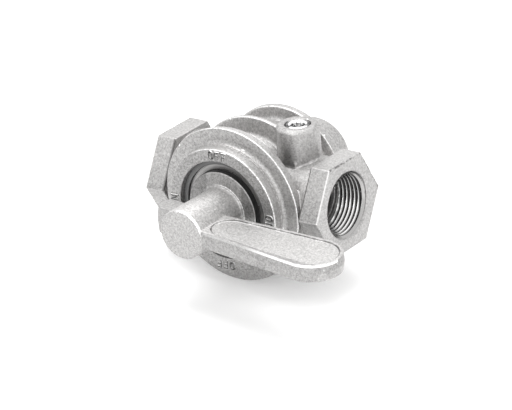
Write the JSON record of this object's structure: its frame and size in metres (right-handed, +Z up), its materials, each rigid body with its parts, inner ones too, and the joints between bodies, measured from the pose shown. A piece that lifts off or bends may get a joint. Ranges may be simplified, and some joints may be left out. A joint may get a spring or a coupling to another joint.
{
  "type": "manual shut-off valve",
  "caption": "Cast manual shut-off valve: ribbed drum body with threaded hexagon ports, a rotor turned by a paddle lever, and a plugged bleed boss.",
  "frame": {"origin": "on the pipe axis, at the outer end of the inlet thread, just inside the chamfer of the inlet mouth", "axes": "+X along the pipe from inlet to outlet, +Y along the rotor axis away from the lever, +Z up along the bleed boss"},
  "size_m": [0.1371, 0.1223, 0.08],
  "materials": {
    "cast_steel": "matte, fine blasted casting",
    "turned_steel": "satin, turned",
    "polished_steel": "polished",
    "spring_steel": "dark, phosphated",
    "brass": "satin, turned",
    "seat_plastic": "matte, off-white",
    "seal_rubber": "matte, black"
  },
  "bodies": {
    "valve": {"valve_body": "cast_steel", "retaining_ring": "spring_steel", "gland_ring": "turned_steel", "gland_outer_seal": "seal_rubber", "gland_inner_seal": "seal_rubber", "front_thrust_washer": "seat_plastic", "inner_thrust_washer": "seat_plastic", "rear_bush": "brass", "rear_thrust_pad": "seat_plastic", "rear_disc_springs": "spring_steel", "rear_plug": "turned_steel", "rear_plug_seal": "seal_rubber", "inlet_seat": "seat_plastic", "outlet_seat": "seat_plastic", "inlet_seat_seal": "seal_rubber", "outlet_seat_seal": "seal_rubber", "inlet_seat_springs": "spring_steel", "outlet_seat_springs": "spring_steel", "inlet_seat_retainer": "turned_steel", "outlet_seat_retainer": "turned_steel", "bleed_plug": "polished_steel"},
    "rotor": {"rotor_plug": "turned_steel", "operating_lever": "cast_steel", "drive_pin": "turned_steel", "rotor_rear_seal": "seal_rubber"}
  },
  "joints": [
    {"name": "lever_turn", "type": "hinge", "parent": "valve", "child": "rotor", "pos_m": [0.05135, 0, 0], "axis": [0, -1, 0], "continuous": true}
  ]
}
